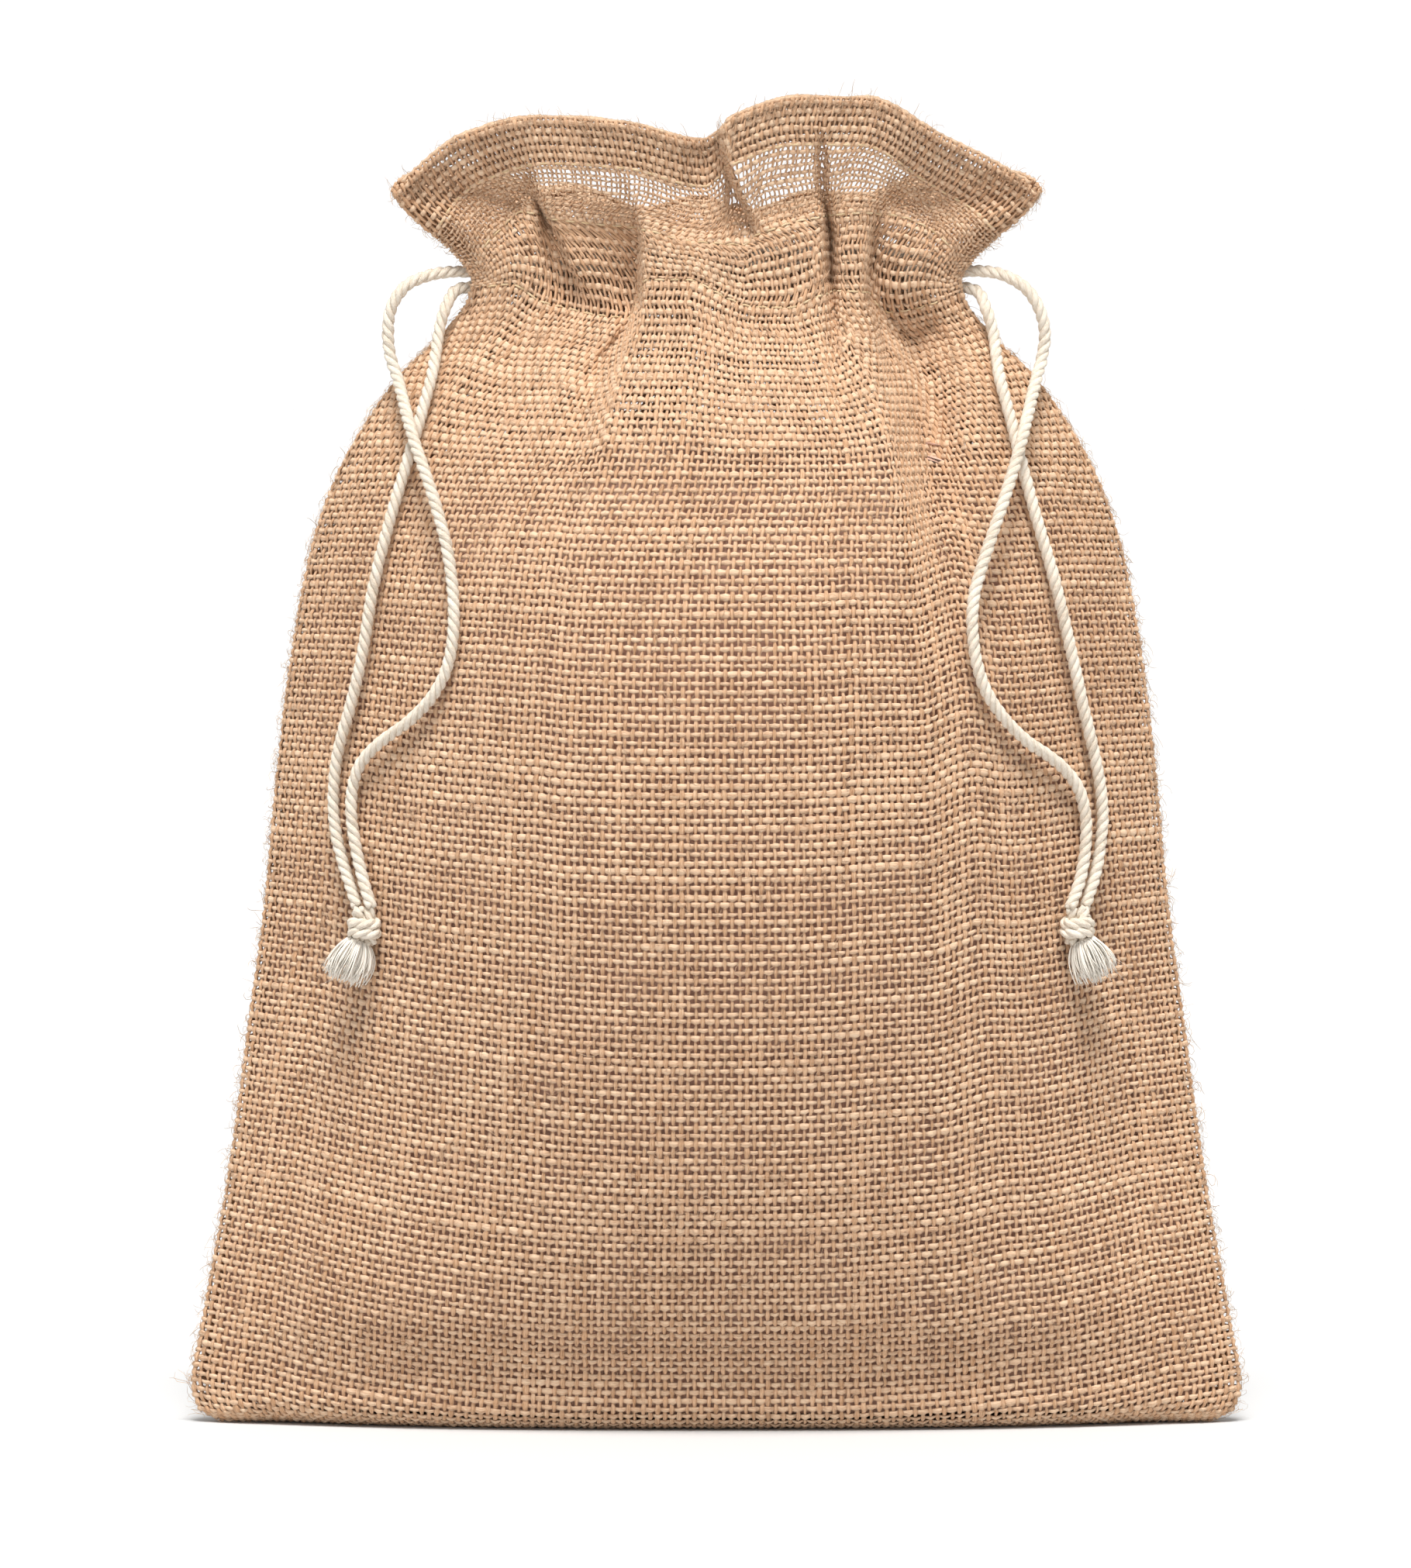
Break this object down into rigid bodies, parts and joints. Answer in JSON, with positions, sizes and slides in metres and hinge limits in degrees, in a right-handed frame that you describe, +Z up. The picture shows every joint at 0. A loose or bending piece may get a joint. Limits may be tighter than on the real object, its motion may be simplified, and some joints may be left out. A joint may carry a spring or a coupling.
{
  "type": "drawstring gift pouch",
  "caption": "Standing, filled pouch of open-weave jute hessian, its neck drawn in by two twisted cotton cords that leave at opposite sides, each knotted and frayed at its end.",
  "frame": {"origin": "middle of the footprint, on the surface that the pouch stands on", "axes": "+Z up; the front panel, with the hanging cords in front of it, faces -Y; +X to the right seen from the front"},
  "size_m": [0.25, 0.1178, 0.3153],
  "materials": {
    "jute_cloth": "matte, open plain weave of natural jute",
    "jute_folded": "matte, the same cloth folded or doubled",
    "jute_thread": "matte sewing thread",
    "cotton_cord": "matte, three-strand twisted natural cotton",
    "filling": "matte, soft packed contents"
  },
  "bodies": {
    "pouch": {"front_panel": "jute_cloth", "back_panel": "jute_cloth", "front_top_hem": "jute_folded", "back_top_hem": "jute_folded", "front_casing": "jute_folded", "back_casing": "jute_folded", "left_seam_allowance": "jute_folded", "right_seam_allowance": "jute_folded", "left_header_seam_allowance": "jute_folded", "right_header_seam_allowance": "jute_folded", "bottom_seam_allowance": "jute_folded", "front_casing_lower_stitch": "jute_thread", "front_casing_upper_stitch": "jute_thread", "back_casing_lower_stitch": "jute_thread", "back_casing_upper_stitch": "jute_thread", "front_hem_stitch": "jute_thread", "back_hem_stitch": "jute_thread", "left_seam_stitch": "jute_thread", "right_seam_stitch": "jute_thread", "bottom_seam_stitch": "jute_thread", "left_cord_in_casing": "cotton_cord", "right_cord_in_casing": "cotton_cord", "filling": "filling"},
    "left_pull": {"left_loop_cord_tail": "cotton_cord", "left_front_cord_tail": "cotton_cord"},
    "left_hanging_cords": {"left_loop_cord": "cotton_cord", "left_front_cord": "cotton_cord", "left_knot": "cotton_cord", "left_tassel": "cotton_cord"},
    "right_pull": {"right_loop_cord_tail": "cotton_cord", "right_front_cord_tail": "cotton_cord"},
    "right_hanging_cords": {"right_loop_cord": "cotton_cord", "right_front_cord": "cotton_cord", "right_knot": "cotton_cord", "right_tassel": "cotton_cord"}
  },
  "joints": [
    {"name": "left_drawstring_pull", "type": "slide", "parent": "pouch", "child": "left_pull", "axis": [-1, 0, 0], "range_m": [0, 0.025]},
    {"name": "left_cord_swing", "type": "hinge", "parent": "left_pull", "child": "left_hanging_cords", "pos_m": [-0.0583, 0, 0.272], "axis": [0, 1, 0], "range_deg": [0, 25]},
    {"name": "right_drawstring_pull", "type": "slide", "parent": "pouch", "child": "right_pull", "axis": [1, 0, 0], "range_m": [0, 0.025]},
    {"name": "right_cord_swing", "type": "hinge", "parent": "right_pull", "child": "right_hanging_cords", "pos_m": [0.0583, 0, 0.272], "axis": [0, -1, 0], "range_deg": [0, 25]}
  ]
}
